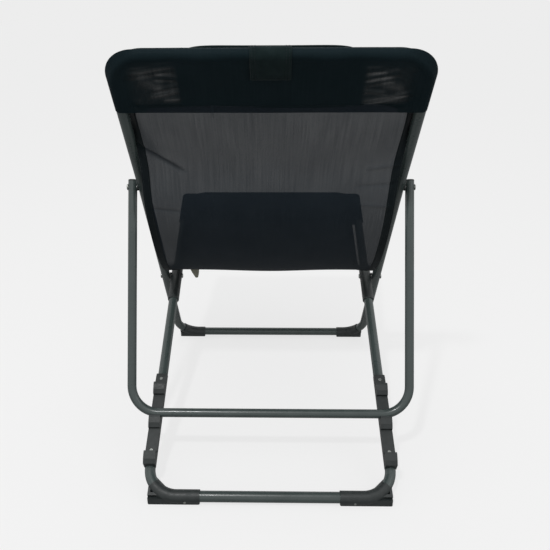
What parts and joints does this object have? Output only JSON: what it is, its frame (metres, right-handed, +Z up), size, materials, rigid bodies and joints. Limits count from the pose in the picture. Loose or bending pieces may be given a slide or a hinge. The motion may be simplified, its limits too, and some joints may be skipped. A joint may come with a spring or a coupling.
{
  "type": "folding camp chair",
  "caption": "Folding camp sling chair with crossing tube frames, a support bail that drops into toothed racks, a mesh sling and a head pillow.",
  "frame": {"origin": "centre of the bounding box's base, on the ground between the four feet", "axes": "+Z up; the sitter looks towards -Y; +X is the sitter's left"},
  "size_m": [0.62, 0.8282, 0.8557],
  "materials": {
    "frame_paint": "satin grey-green powder coat",
    "black_plastic": "moulded matte black nylon",
    "plated_steel": "zinc-plated steel",
    "mesh_fabric": "dark teal-black PVC-coated mesh",
    "pillow_fabric": "dark green-black padded mesh",
    "label_fabric": "plain woven label, blank"
  },
  "bodies": {
    "back_frame": {"back_frame_upper_tube": "frame_paint", "back_frame_lower_tube": "frame_paint", "back_frame_spigots": "plated_steel", "front_foot_left": "black_plastic", "front_foot_right": "black_plastic", "front_foot_screws": "plated_steel", "main_pivot_rivet_left": "plated_steel", "main_pivot_rivet_right": "plated_steel", "pivot_washers": "black_plastic", "bail_pivot_rivet_left": "plated_steel", "bail_pivot_rivet_right": "plated_steel", "bail_spacers": "black_plastic", "sling_hood": "mesh_fabric", "sling_back_panel": "mesh_fabric", "pillow": "pillow_fabric", "pillow_strap": "pillow_fabric"},
    "seat_frame": {"seat_frame_front_tube": "frame_paint", "seat_frame_rear_tube": "frame_paint", "seat_frame_spigots": "plated_steel", "rack_left": "black_plastic", "rack_right": "black_plastic", "rack_screws": "plated_steel", "pivot_collar_left": "black_plastic", "pivot_collar_right": "black_plastic", "rear_foot_left": "black_plastic", "rear_foot_right": "black_plastic", "rear_foot_screws": "plated_steel", "sling_seat_panel": "mesh_fabric", "sling_front_pocket": "mesh_fabric", "care_label": "label_fabric"},
    "bail": {"bail_tube": "frame_paint", "bail_end_cap_left": "black_plastic", "bail_end_cap_right": "black_plastic"}
  },
  "joints": [
    {"name": "fold", "type": "hinge", "parent": "back_frame", "child": "seat_frame", "pos_m": [0, -0.1196, 0.26722], "axis": [-1, 0, 0], "range_deg": [0, 90]},
    {"name": "bail_swing", "type": "hinge", "parent": "back_frame", "child": "bail", "pos_m": [0, 0.06138, 0.55505], "axis": [-1, 0, 0], "range_deg": [0, 50.5]}
  ],
  "couplings": [
    {"joint": "bail_swing", "follows": "fold", "ratio": 0.56}
  ]
}
